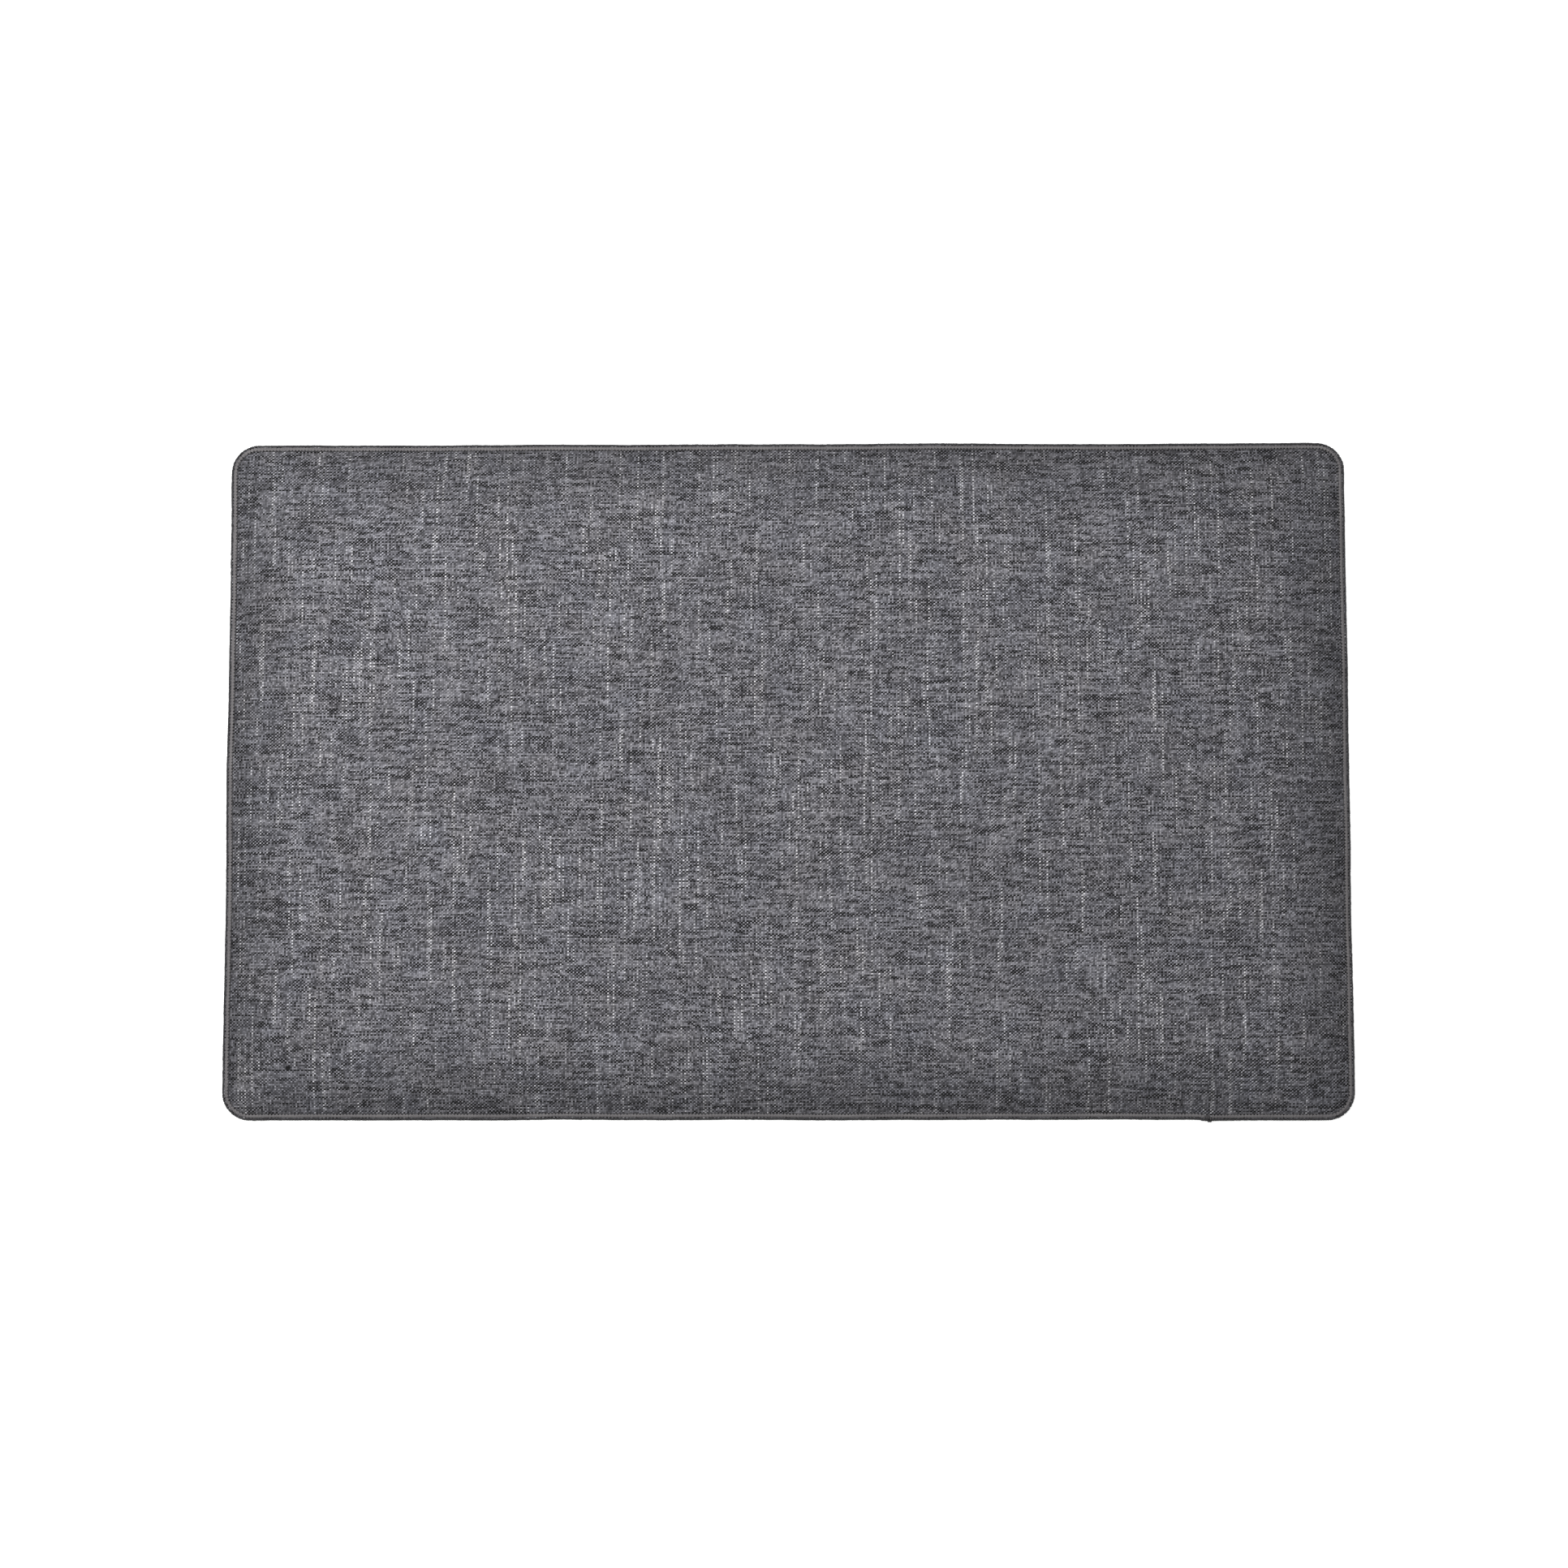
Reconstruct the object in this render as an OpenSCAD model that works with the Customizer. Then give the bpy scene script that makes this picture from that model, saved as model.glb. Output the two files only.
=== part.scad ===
// Cushioned standing mat: a woven cover and a foam core bonded to a dotted grip base,
// with the raw edge of cover and base wrapped all round by a three-thread overlock.
// X runs along the mat's length, Y from its front edge to its back, Z up from the floor.

/* [Mat] */
// Length of the mat over the stitching
mat_l = 762; // [500:1:1200]
// Width of the mat over the stitching
mat_w = 460; // [340:1:800]
// Radius of the mat's corners at the outside of the stitching
corner_r = 19; // [16:0.5:40]

/* [Cover] */
// Thickness of the woven cover
cover_t = 1; // [0.6:0.1:2]

/* [Foam] */
// Thickness of the foam under the flat middle of the cover
foam_t = 9.5; // [6:0.5:20]
// Thickness to which the seam squeezes the rim of the foam
foam_rim_t = 0.4; // [0.2:0.1:1]
// Width of the rounded shoulder between the seam and the flat middle
shoulder_w = 50; // [30:1:80]
// Fullness of the shoulder: 1 is a straight slope, and more is rounder
shoulder_fullness = 2.2; // [1.6:0.1:3]
// Corner radius of the flat middle
middle_corner_r = 45; // [20:1:70]

/* [Bond films] */
// Thickness of each hot-melt film
film_t = 0.2; // [0.1:0.05:0.4]

/* [Grip base] */
// Thickness of the backing sheet
base_t = 1; // [0.6:0.1:2]
// Diameter of a grip dot at its foot
dot_d = 5; // [3:0.5:8]
// Diameter of the flat that a grip dot stands on
dot_flat_d = 2.4; // [1:0.1:2.8]
// Height of a grip dot below the backing sheet
dot_h = 0.8; // [0.7:0.1:2]
// Distance between neighbouring grip dots
dot_pitch = 20; // [14:1:40]
// Bare strip between the stitching and the grip dots
dot_margin = 4; // [1:0.5:8]

/* [Overlock] */
// Width of the looper threads from the mat's edge to the needle line
stitch_w = 4.4; // [3:0.1:6]
// Thickness of the looper threads where they lie flat
thread_t = 0.7; // [0.4:0.05:0.7]
// Radius of the thread-wrapped edge
edge_r = 1.5; // [0.8:0.1:1.6]
// Diameter of the needle thread
needle_d = 0.8; // [0.4:0.1:1.2]
// Length over which the end of the overlock runs over its start
lap_l = 7; // [4:0.5:20]
// Thickness that the lapped threads add
lap_t = 0.5; // [0.2:0.1:0.7]
// Distance of the lap from the right-hand end, along the front edge
lap_inset = 99; // [60:1:200]

/* [Hidden] */
$fn = 64;

// Steps of each lofted corner and of the shoulder between the seam and the flat middle
corner_steps = 8;
shoulder_steps = 8;
// Angle between the points of a thread band's rounded edge
round_step = 15;

// Heights of the stack, from the floor up
base_z = dot_h;
seam_z = base_z + base_t;
foam_z = seam_z + film_t;
middle_z = foam_z + foam_t + film_t;
flange_z = seam_z + cover_t;

// Distances in from the mat's edge: the raw edge, and where the cover leaves the base
raw_inset = thread_t;
seam_inset = stitch_w + needle_d;

// Share of the cover's climb at a share u of the shoulder, and the share u at a given climb
function climb(u) = 1 - pow(1 - u, shoulder_fullness);
function climb_at(share) = 1 - pow(1 - share, 1 / shoulder_fullness);

// The foam's rim stands where cover and base are far enough apart for it and its two films
foam_u = climb_at((foam_rim_t + 2 * film_t) / (middle_z - seam_z));
foam_us = [for (k = [0 : shoulder_steps]) foam_u + (1 - foam_u) * k / shoulder_steps];

// Height of the cover's underside at a share u of the shoulder
function underside(u) = seam_z + (middle_z - seam_z) * climb(u);

// A rounded rectangle of points, a distance in from the mat's edge, at a height
function outline(inset, r, z) = [
    for (c = [[1, 1, 0], [-1, 1, 90], [-1, -1, 180], [1, -1, 270]])
    for (k = [0 : corner_steps])
    let (a = c[2] + 90 * k / corner_steps)
    [c[0] * (mat_l / 2 - inset - r) + r * cos(a), c[1] * (mat_w / 2 - inset - r) + r * sin(a), z]
];

// Outline of the flat seam allowance, whose corners share the mat's own centres
function flange_ring(inset, z) = outline(inset, corner_r - inset, z);

// Outline on the shoulder, whose corners open out towards the flat middle
function shoulder_ring(u, z) = let (seam_r = corner_r - seam_inset)
    outline(seam_inset + u * shoulder_w, seam_r + (middle_corner_r - seam_r) * u, z);

function reversed(list) = [for (k = [len(list) - 1 : -1 : 0]) list[k]];

// A closed solid through a stack of rings of equal length, the first and the last of them capped
module loft(rings) {
    n = len(rings[0]);
    sides = [
        for (j = [0 : len(rings) - 2])
        for (k = [0 : n - 1])
        let (a = j * n + k, b = j * n + (k + 1) % n)
        each [[a, a + n, b + n], [a, b + n, b]]
    ];
    first_cap = [for (k = [0 : n - 1]) k];
    last_cap = [for (k = [n - 1 : -1 : 0]) (len(rings) - 1) * n + k];
    polyhedron([for (r = rings) each r], concat([first_cap, last_cap], sides));
}

// A flat sheet of the mat's plan, a distance in from its edge
module sheet(inset, t) {
    r = corner_r - inset;
    linear_extrude(t) {
        square([mat_l - 2 * inset, mat_w - 2 * corner_r], center = true);
        square([mat_l - 2 * corner_r, mat_w - 2 * inset], center = true);
        for (x = [-1, 1], y = [-1, 1])
            translate([x * (mat_l / 2 - corner_r), y * (mat_w / 2 - corner_r)]) circle(r);
    }
}

// Carries a section round the mat's edge: its x is the distance in from the edge, its y the height
module round_the_edge() {
    run_l = mat_l - 2 * corner_r;
    run_w = mat_w - 2 * corner_r;
    for (side = [0 : 3]) {
        run = side % 2 == 0 ? run_l : run_w;
        reach = side % 2 == 0 ? mat_w / 2 : mat_l / 2;
        rotate(90 * side) translate([-run / 2, -reach, 0])
            along_x(run) children();
        rotate(90 * side) translate([run / 2, corner_r - reach, 0])
            rotate(-90) rotate_extrude(angle = 90)
                translate([corner_r, 0]) mirror([1, 0]) children();
    }
}

// Draws a section out along +X, its own x pointing to +Y
module along_x(l) {
    rotate([90, 0, 90]) linear_extrude(l) children();
}

// Half of the thread wrap: an L that lies on one face of the seam and turns round the raw edge
// towards the other half. It is drawn for the upper face, from the height where the halves meet.
module wrap_section(meet_z, face_z) {
    top_z = face_z + thread_t;
    r = min(edge_r, top_z - meet_z);
    polygon(concat(
        [[0, meet_z]],
        [for (a = [0 : round_step : 90]) [r - r * cos(a), top_z - r + r * sin(a)]],
        [[stitch_w, top_z], [stitch_w, face_z], [raw_inset, face_z], [raw_inset, meet_z]]
    ));
}

// The overlock's lapped end: it rises out of the looper band on bevelled edges
module lap_section() {
    top = thread_t + lap_t;
    polygon([
        [edge_r, 0], [stitch_w, 0], [stitch_w, thread_t],
        [stitch_w - lap_t, top], [edge_r + lap_t, top], [edge_r, thread_t]
    ]);
}

// Plain-woven cover: a flat seam allowance, then a shoulder up to the flat middle
module top_cover() {
    cover_us = concat([0], foam_us);
    underneath = concat(
        reversed([for (u = cover_us) shoulder_ring(u, underside(u))]),
        [flange_ring(raw_inset, seam_z)]
    );
    on_top = concat(
        [flange_ring(raw_inset, flange_z)],
        [for (u = cover_us) shoulder_ring(u, underside(u) + cover_t)]
    );
    color("dimgray") loft(concat(underneath, on_top));
}

// Hot-melt film between the foam and the cover
module top_bond_film() {
    underneath = reversed([for (u = foam_us) shoulder_ring(u, underside(u) - film_t)]);
    on_top = [for (u = foam_us) shoulder_ring(u, underside(u))];
    color("ivory") loft(concat(underneath, on_top));
}

// Foam core: flat underneath, with its rim squeezed thin by the seam
module foam_core() {
    on_top = [for (u = foam_us) shoulder_ring(u, underside(u) - film_t)];
    color("whitesmoke") loft(concat([shoulder_ring(foam_u, foam_z)], on_top));
}

// Hot-melt film between the foam and the grip base
module base_bond_film() {
    color("ivory") loft([shoulder_ring(foam_u, seam_z), shoulder_ring(foam_u, foam_z)]);
}

// A grip dot that stands on a small flat, rooted half way into the backing sheet
module grip_dot() {
    shoulder_d = (dot_d + dot_flat_d) / 2;
    root_z = dot_h + base_t / 2;
    rotate_extrude() polygon([
        [0, 0], [dot_flat_d / 2, 0], [shoulder_d / 2, dot_h / 4],
        [dot_d / 2, dot_h], [dot_d / 2, root_z], [0, root_z]
    ]);
}

// Distance of a point of the plan from the mat's edge, up to the corner radius
function edge_gap(x, y) = corner_r - norm([
    max(abs(x) - mat_l / 2 + corner_r, 0),
    max(abs(y) - mat_w / 2 + corner_r, 0)
]);

// Backing sheet with staggered rows of grip dots, one of them at the mat's centre
module grip_base() {
    row_pitch = dot_pitch * sin(60);
    rows = floor(mat_w / 2 / row_pitch);
    columns = ceil(mat_l / 2 / dot_pitch);
    least_gap = stitch_w + dot_margin + dot_d / 2;
    color("#2b2b2d") {
        translate([0, 0, base_z]) sheet(raw_inset, base_t);
        for (row = [-rows : rows], column = [-columns : columns]) {
            x = (column + abs(row % 2) / 2) * dot_pitch;
            y = row * row_pitch;
            if (edge_gap(x, y) >= min(least_gap, corner_r)) translate([x, y, 0]) grip_dot();
        }
    }
}

// Needle thread: the line of straight stitches along the inner edge of the loopers
module needle_thread() {
    color("gray") round_the_edge()
        translate([stitch_w + needle_d / 2, flange_z + needle_d / 2]) circle(d = needle_d);
}

// Upper looper thread: over the cover and half way round the raw edge, lapped over its own start
module upper_looper_thread() {
    lap_x = mat_l / 2 - lap_inset;
    color("gray") {
        round_the_edge() wrap_section(seam_z, flange_z);
        translate([lap_x - lap_l / 2, -mat_w / 2, flange_z]) along_x(lap_l) lap_section();
    }
}

// Lower looper thread: under the base and half way round the raw edge
module lower_looper_thread() {
    color("gray") round_the_edge()
        translate([0, seam_z]) mirror([0, 1]) wrap_section(0, base_t);
}

top_cover();
top_bond_film();
foam_core();
base_bond_film();
grip_base();
needle_thread();
upper_looper_thread();
lower_looper_thread();
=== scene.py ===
import math
import random

import bmesh
import bpy
from mathutils import Matrix, Vector, noise


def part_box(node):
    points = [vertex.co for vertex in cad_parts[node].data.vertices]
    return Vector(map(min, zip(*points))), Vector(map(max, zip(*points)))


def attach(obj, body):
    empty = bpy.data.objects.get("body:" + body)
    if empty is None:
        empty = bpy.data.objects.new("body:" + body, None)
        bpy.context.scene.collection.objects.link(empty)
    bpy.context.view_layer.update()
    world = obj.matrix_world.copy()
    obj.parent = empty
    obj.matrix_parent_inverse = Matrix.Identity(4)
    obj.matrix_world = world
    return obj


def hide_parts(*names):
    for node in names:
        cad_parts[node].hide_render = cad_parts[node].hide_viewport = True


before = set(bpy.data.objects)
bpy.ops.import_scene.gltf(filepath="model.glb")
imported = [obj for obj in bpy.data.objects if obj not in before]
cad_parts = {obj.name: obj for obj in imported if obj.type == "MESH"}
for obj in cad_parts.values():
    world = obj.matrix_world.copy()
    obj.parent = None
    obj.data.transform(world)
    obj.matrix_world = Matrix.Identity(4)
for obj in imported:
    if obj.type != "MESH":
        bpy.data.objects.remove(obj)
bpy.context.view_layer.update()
mm = 0.001
# Every run draws the same stitches and the same wander of the edge
random.seed(7)
noise.seed_set(22)

# Sizes that the pieces share, in metres, read from the frame where it holds them
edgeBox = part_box("upper_looper_thread")
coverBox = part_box("top_cover")
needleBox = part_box("needle_thread")
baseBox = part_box("grip_base")
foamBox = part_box("foam_core")
mat = {
    "halfLength": edgeBox[1].x,
    "halfWidth": edgeBox[1].y,
    "cornerRadius": 19 * mm,
    "cornerReach": 1.5,                             # a corner's turn is spread over this many radii
    "rawInset": edgeBox[1].x - coverBox[1].x,       # raw edge of cover and base, inside the thread
    "stitchWidth": edgeBox[1].x - needleBox[1].x,   # outer edge to needle line
    "seamInset": edgeBox[1].x - needleBox[1].x + needleBox[1].z - needleBox[0].z,
    "foamInset": edgeBox[1].x - foamBox[1].x,
    "seamZ": coverBox[0].z,                         # where cover and base meet
    "flangeZ": needleBox[0].z,                      # top of the cover at the seam
    "topZ": coverBox[1].z,                          # top of the flat middle
    "shoulderWidth": 50 * mm,
    "shoulderFullness": 2.2,
    "middleCornerRadius": 45 * mm,
}


def linearColor(hexCode):
    # sRGB hex to the linear colour that a shader socket takes
    parts = [int(hexCode[k:k + 2], 16) / 255 for k in (1, 3, 5)]
    return [c / 12.92 if c <= 0.04045 else ((c + 0.055) / 1.055) ** 2.4 for c in parts] + [1.0]


def addNode(tree, kind, settings=None, links=None):
    node = tree.nodes.new(kind)
    for key, value in (settings or {}).items():
        if isinstance(key, str) and hasattr(node, key):
            setattr(node, key, value)
        else:
            node.inputs[key].default_value = value
    for key, source in (links or {}).items():
        tree.links.new(source, node.inputs[key])
    return node


def newMaterial(name):
    material = bpy.data.materials.new(name)
    material.use_nodes = True
    tree = material.node_tree
    return material, tree, tree.nodes["Principled BSDF"]


def meshOf(bm, name):
    mesh = bpy.data.meshes.new(name)
    bm.to_mesh(mesh)
    bm.free()
    return mesh


def makePiece(name, bm, material, slot, node=None):
    mesh = meshOf(bm, name)
    mesh.shade_smooth()
    mesh.materials.append(material)
    piece = bpy.data.objects.new(name, mesh)
    bpy.context.scene.collection.objects.link(piece)
    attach(piece, "root")
    if node:
        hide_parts(node)
    return piece


def applyModifiers(piece):
    graph = bpy.context.evaluated_depsgraph_get()
    mesh = bpy.data.meshes.new_from_object(piece.evaluated_get(graph))
    piece.modifiers.clear()
    piece.data = mesh


# The mat's form: rings at a distance in from its edge

def ringRadius(inset):
    # corner radius of the ring at this distance in
    seamRadius = mat["cornerRadius"] - mat["seamInset"]
    if inset <= mat["seamInset"]:
        return mat["cornerRadius"] - inset
    share = (inset - mat["seamInset"]) / mat["shoulderWidth"]
    if share <= 1:
        return seamRadius + (mat["middleCornerRadius"] - seamRadius) * share
    return max(0.0, mat["middleCornerRadius"] * (2 - share))


def shoulderShare(inset):
    # 0 at the seam, 1 where the flat middle starts
    return min(max((inset - mat["seamInset"]) / mat["shoulderWidth"], 0.0), 1.0)


def coverHeight(inset):
    # top of the cover at this distance in
    climb = 1 - (1 - shoulderShare(inset)) ** mat["shoulderFullness"]
    return mat["flangeZ"] + (mat["topZ"] - mat["flangeZ"]) * climb


def onRings(x, y):
    # turns a point of a plain rectangle into one on the rings, with their round corners
    a = mat["halfLength"] - abs(x)
    b = mat["halfWidth"] - abs(y)
    inset = min(a, b)
    radius = ringRadius(inset)
    along = abs(a - b)                  # distance from the corner's diagonal
    reach = mat["cornerReach"] * radius
    if along < reach:
        arc = radius * math.pi / 4
        run = along / reach * (arc + reach - radius)
        if run <= arc:
            turn = math.pi / 4 - run / radius
            near = inset + radius - radius * math.cos(turn)
            far = inset + radius - radius * math.sin(turn)
        else:
            near = inset
            far = inset + radius + run - arc
        a, b = (near, far) if a <= b else (far, near)
    x = math.copysign(mat["halfLength"] - a, x)
    y = math.copysign(mat["halfWidth"] - b, y)
    return Vector((x, y, 0)), inset


wanderSizes = {
    "long": 90 * mm,
    "longReach": 0.7 * mm,
    "short": 22 * mm,
    "shortReach": 0.25 * mm,
    "apart": Vector((5, 5, 5)),     # keeps the noise of the two apart
}
# Where the overlock's finished end laps its start, on the front edge
lap = {
    "x": mat["halfLength"] - 99 * mm,
    "half": 2.19 * mm,              # half of its length, one stitch
    "startIn": 0.45 * mm,           # left of the lap, the seam lies this much further in
    "endOut": 0.4 * mm,             # and right of it this much further out
    "fade": 40 * mm,                # along the edge
    "fadeIn": 25 * mm,              # and in from it
    "curl": 0.8 * mm,               # the last stitches before the lap turn out this far
    "curlLength": 6 * mm,
    # loose strands: where each starts and ends, along the edge and in from it, in mm
    "strands": (((-1.5, 4.4), (-1.0, 0.6)), ((0.1, 4.0), (-0.2, 0.5)), ((1.0, 3.9), (1.9, -0.2))),
    "strandRise": ((0.0, 0.4), (0.35, 0.95), (0.7, 0.95), (1.0, 0.1)),  # share of a strand, height in mm
}


def wander(point):
    # a sewn edge never runs quite true: a small sideways shift that neighbours share
    shift = Vector((0, 0, 0))
    for k, size in enumerate(("long", "short")):
        place = Vector((point.x, point.y, 0)) / wanderSizes[size] + wanderSizes["apart"] * k
        shift += noise.noise_vector(place) * wanderSizes[size + "Reach"]
    # at the lap, one end of the seam lies further in than the other
    past = point.x - lap["x"]
    near = max(0.0, 1 - (point.y + mat["halfWidth"]) / lap["fadeIn"])
    near *= math.exp(-abs(past) / lap["fade"])
    shift.y += near * (-lap["endOut"] if past > 0 else lap["startIn"])
    return Vector((shift.x, shift.y, 0))


gridSizes = {"flangeLines": 3, "shoulderLines": 15, "lineCrowding": 1.25, "middleStep": 8 * mm}


def gridLines(half, startInset):
    # places of the grid's lines across the mat, close together at the seam and the shoulder
    seam = mat["seamInset"]
    lines = []
    if startInset < seam:
        count = gridSizes["flangeLines"]
        lines = [startInset + (seam - startInset) * k / count for k in range(count)]
        startInset = seam
    span = seam + mat["shoulderWidth"] - startInset
    count = gridSizes["shoulderLines"]
    lines += [startInset + span * (k / count) ** gridSizes["lineCrowding"] for k in range(count + 1)]
    middle = half - lines[-1]
    steps = round(2 * middle / gridSizes["middleStep"])
    inner = [-middle + 2 * middle * k / steps for k in range(1, steps)]
    return [inset - half for inset in lines] + inner + [half - inset for inset in reversed(lines)]


def ringGrid(startInset, heightAt):
    # a grid whose edge follows the mat's rounded outline, at a height given by the ring
    xs = gridLines(mat["halfLength"], startInset)
    ys = gridLines(mat["halfWidth"], startInset)
    bm = bmesh.new()
    shoulder = bm.verts.layers.float.new("shoulder")
    bmesh.ops.create_grid(bm, x_segments=len(xs) - 1, y_segments=len(ys) - 1, size=0.5)
    for vert in bm.verts:
        x = xs[round((vert.co.x + 0.5) * (len(xs) - 1))]
        y = ys[round((vert.co.y + 0.5) * (len(ys) - 1))]
        point, inset = onRings(x, y)
        vert.co = point + wander(point) + Vector((0, 0, heightAt(point, inset)))
        vert[shoulder] = shoulderShare(inset)
    return bm


# Plain-woven slub polyester. The eye gets a fine checker of light warp floats and dark weft floats
# that leans to the right, white dotted lines where a warp yarn swells, and short dark weft dashes
weave = {
    "warp": {
        "pitch": 1.228 * mm,            # yarns along Y, counted along X
        "dark": "#939298",
        "light": "#c0bfc5",
        "tone": (0.3, 0.7),             # range of the noise that goes from dark to light
        "toneLength": 30 * mm,
        "toneLayer": 1.5,               # layer of the noise that the tone reads
        "slubLayer": 7.5,
        "accent": "#f8f7fa",
        "slub": (0.585, 0.70),          # range of the noise over which an accent comes in
        "slubLength": 70 * mm,
    },
    "weft": {
        "pitch": 1.071 * mm,            # yarns along X, counted along Y
        "dark": "#37363c",
        "light": "#a3a2a8",
        "tone": (0.34, 0.66),
        "toneLength": 35 * mm,
        "toneLayer": 0.5,
        "slubLayer": 6.5,
        "accent": "#0a090c",
        "slub": (0.55, 0.61),
        "slubLength": 13 * mm,
    },
    "laneStep": 7.31,                   # keeps the noise of neighbouring yarns apart
    "toneDetail": 3.0,
    "slubDetail": 1.0,
    "lean": (0.0, 0.45),                # least and most lean of a float, as a share of its width
    "leanNoise": (0.35, 0.65),          # range of the noise that goes from the least to the most
    "soft": 0.22,                       # how softly a float sinks below its neighbours
    "swell": 0.25,                      # how much a thick stretch of the weft hides of the warp
    "paintedGapShade": 0.45,                        # painted shade between the yarns: brightness where a float sinks
    "salt": 0.68,                       # spread of brightness from float to float
    "cloudStep": 70 * mm,
    "cloud": 0.04,
    "tintStep": 22 * mm,
    "cool": "#f6f9ff",
    "warm": "#fdfaf7",
    "paintedShoulderShade": 0.62,              # painted shade on the shoulders, darkest at the seam
    "nep": (-334.7 * mm, -194.5 * mm, coverHeight(31.7 * mm)),  # a dark knot of fibres in the weft
    "nepRadius": (1.3 * mm, 2.6 * mm),
    "nepShade": 0.04,
    "bowStep": 110 * mm,
    "bow": 1.0 * mm,
    "ridge": 0.4 * mm,                  # height of a float
    "bump": 0.75,
    "roughness": 0.6,
    "specular": 0.15,
}


def wovenPolyester():
    material, tree, shader = newMaterial("Plain-woven slub polyester")
    coords = addNode(tree, "ShaderNodeTexCoord")
    # the yarns bow a little across the mat
    bowNoise = addNode(tree, "ShaderNodeTexNoise", {"Scale": 1 / weave["bowStep"], "Detail": 1.0},
                       {"Vector": coords.outputs["Object"]})
    bowed = addNode(tree, "ShaderNodeVectorMath", {"operation": "MULTIPLY_ADD", 1: [weave["bow"]] * 3},
                    {0: bowNoise.outputs["Color"], 2: coords.outputs["Object"]})
    split = addNode(tree, "ShaderNodeSeparateXYZ", None, {0: bowed.outputs[0]})

    # where a point lies, counted in yarns; the twist of the weft leans each float to the right
    weftPlace = addNode(tree, "ShaderNodeMath", {"operation": "MULTIPLY", 1: 1 / weave["weft"]["pitch"]},
                        {0: split.outputs[1]})
    upFloat = addNode(tree, "ShaderNodeMath", {"operation": "FRACT"}, {0: weftPlace.outputs[0]})
    lean = addNode(tree, "ShaderNodeMapRange",
                   {1: weave["leanNoise"][0], 2: weave["leanNoise"][1],
                    3: -weave["lean"][0], 4: -weave["lean"][1]},
                   {0: bowNoise.outputs["Fac"]})
    leaned = addNode(tree, "ShaderNodeMath", {"operation": "MULTIPLY"},
                     {0: upFloat.outputs[0], 1: lean.outputs[0]})
    warpPlace = addNode(tree, "ShaderNodeMath",
                        {"operation": "MULTIPLY_ADD", 1: 1 / weave["warp"]["pitch"]},
                        {0: split.outputs[0], 2: leaned.outputs[0]})

    # each yarn's number, its wave over and under, and colours that change only along it
    numbers, waves, colors, slubs = {}, {}, {}, {}
    for name, place, along in (("warp", warpPlace, 1), ("weft", weftPlace, 0)):
        yarn = weave[name]
        number = addNode(tree, "ShaderNodeMath", {"operation": "FLOOR"}, {0: place.outputs[0]})
        angle = addNode(tree, "ShaderNodeMath", {"operation": "MULTIPLY", 1: math.pi},
                        {0: place.outputs[0]})
        wave = addNode(tree, "ShaderNodeMath", {"operation": "SINE"}, {0: angle.outputs[0]})
        lane = addNode(tree, "ShaderNodeCombineXYZ", None,
                       {0: number.outputs[0], 1: split.outputs[along]})
        levels = {}
        for part in ("tone", "slub"):
            run = addNode(tree, "ShaderNodeVectorMath",
                          {"operation": "MULTIPLY_ADD", 2: (0, 0, yarn[part + "Layer"]),
                           1: (weave["laneStep"], 1 / yarn[part + "Length"], 1)},
                          {0: lane.outputs[0]})
            cloud = addNode(tree, "ShaderNodeTexNoise", {"Scale": 1.0, "Detail": weave[part + "Detail"]},
                            {"Vector": run.outputs[0]})
            low, high = yarn[part]
            levels[part] = addNode(tree, "ShaderNodeMapRange",
                                   {"interpolation_type": "SMOOTHSTEP", 1: low, 2: high},
                                   {0: cloud.outputs["Fac"]})
        dark, light = linearColor(yarn["dark"]), linearColor(yarn["light"])
        plain = addNode(tree, "ShaderNodeMix", {"data_type": "RGBA", 6: dark, 7: light},
                        {0: levels["tone"].outputs[0]})
        color = addNode(tree, "ShaderNodeMix", {"data_type": "RGBA", 7: linearColor(yarn["accent"])},
                        {0: levels["slub"].outputs[0], 6: plain.outputs[2]})
        numbers[name], waves[name] = number.outputs[0], wave.outputs[0]
        colors[name], slubs[name] = color.outputs[2], levels["slub"].outputs[0]

    # plain weave: warp and weft take turns on top, like a soft chessboard, and thick weft shows more
    crossing = addNode(tree, "ShaderNodeMath", {"operation": "MULTIPLY"},
                       {0: waves["warp"], 1: waves["weft"]})
    swollen = addNode(tree, "ShaderNodeMath", {"operation": "MULTIPLY_ADD", 1: weave["swell"]},
                      {0: slubs["weft"], 2: crossing.outputs[0]})
    weftOver = addNode(tree, "ShaderNodeMapRange",
                       {"interpolation_type": "SMOOTHSTEP", 1: -weave["soft"], 2: weave["soft"]},
                       {0: swollen.outputs[0]})
    height = addNode(tree, "ShaderNodeMath", {"operation": "ABSOLUTE"}, {0: crossing.outputs[0]})
    color = addNode(tree, "ShaderNodeMix", {"data_type": "RGBA"},
                    {0: weftOver.outputs[0], 6: colors["warp"], 7: colors["weft"]})
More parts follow.
